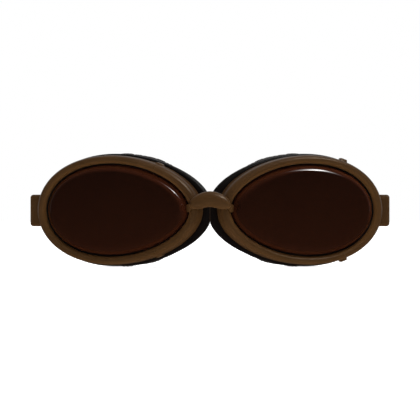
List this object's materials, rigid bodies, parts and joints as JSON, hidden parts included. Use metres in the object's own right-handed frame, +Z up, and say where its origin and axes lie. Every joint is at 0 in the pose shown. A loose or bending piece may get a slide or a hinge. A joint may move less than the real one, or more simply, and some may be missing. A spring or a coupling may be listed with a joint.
{
  "type": "pilot goggles",
  "caption": "Pilot goggles: egg-shaped domed dark lenses in split rims on padded black cups, joined by an arched hinged bridge, with a buckled head strap.",
  "frame": {"origin": "the middle of the footprint, on the surface that the goggles stand on", "axes": "+Z up, +X to the right of someone who faces the lenses, +Y back towards the wearer's head"},
  "size_m": [0.1812, 0.1994, 0.0568],
  "materials": {
    "bronze_enamel": "satin brown enamel over metal, slightly worn at the edges",
    "dark_steel": "blackened brown steel",
    "amber_lens": "glossy, very dark amber tint",
    "black_rubber": "matt",
    "black_shell": "semi-matt black",
    "black_leather": "soft padded leather",
    "brown_strap": "woven elastic webbing"
  },
  "bodies": {
    "bridge_and_strap": {"bridge": "bronze_enamel", "left_hinge_pin": "dark_steel", "right_hinge_pin": "dark_steel", "strap_long": "brown_strap", "strap_short": "brown_strap", "strap_return": "brown_strap", "strap_ring": "dark_steel"},
    "left_eyepiece": {"left_lens": "amber_lens", "left_lens_seal": "black_rubber", "left_rim_nose": "bronze_enamel", "left_rim_outer": "bronze_enamel", "left_rim_screw_top": "dark_steel", "left_rim_screw_bottom": "dark_steel", "left_cup": "black_shell", "left_cushion": "black_leather", "left_hinge_saddle": "bronze_enamel", "left_strap_lug": "bronze_enamel", "left_lug_pin": "dark_steel", "left_lug_rivet_top": "dark_steel", "left_lug_rivet_bottom": "dark_steel"},
    "right_eyepiece": {"right_lens": "amber_lens", "right_lens_seal": "black_rubber", "right_rim_nose": "bronze_enamel", "right_rim_outer": "bronze_enamel", "right_rim_screw_top": "dark_steel", "right_rim_screw_bottom": "dark_steel", "right_cup": "black_shell", "right_cushion": "black_leather", "right_hinge_saddle": "bronze_enamel", "right_strap_lug": "bronze_enamel", "right_lug_pin": "dark_steel", "right_lug_rivet_top": "dark_steel", "right_lug_rivet_bottom": "dark_steel"},
    "slider": {"strap_slider": "dark_steel"}
  },
  "joints": [
    {"name": "left_eyepiece_hinge", "type": "hinge", "parent": "bridge_and_strap", "child": "left_eyepiece", "pos_m": [-0.007, -0.09635, 0.03154], "axis": [0, 0, 1], "range_deg": [0, 17], "deforming": ["strap_long"]},
    {"name": "right_eyepiece_hinge", "type": "hinge", "parent": "bridge_and_strap", "child": "right_eyepiece", "pos_m": [0.007, -0.09635, 0.03154], "axis": [0, 0, -1], "range_deg": [0, 17], "deforming": ["strap_short"]},
    {"name": "strap_slider_slide", "type": "slide", "parent": "bridge_and_strap", "child": "slider", "axis": [1, 0, 0], "range_m": [0, 0.02], "deforming": ["strap_return"]}
  ]
}
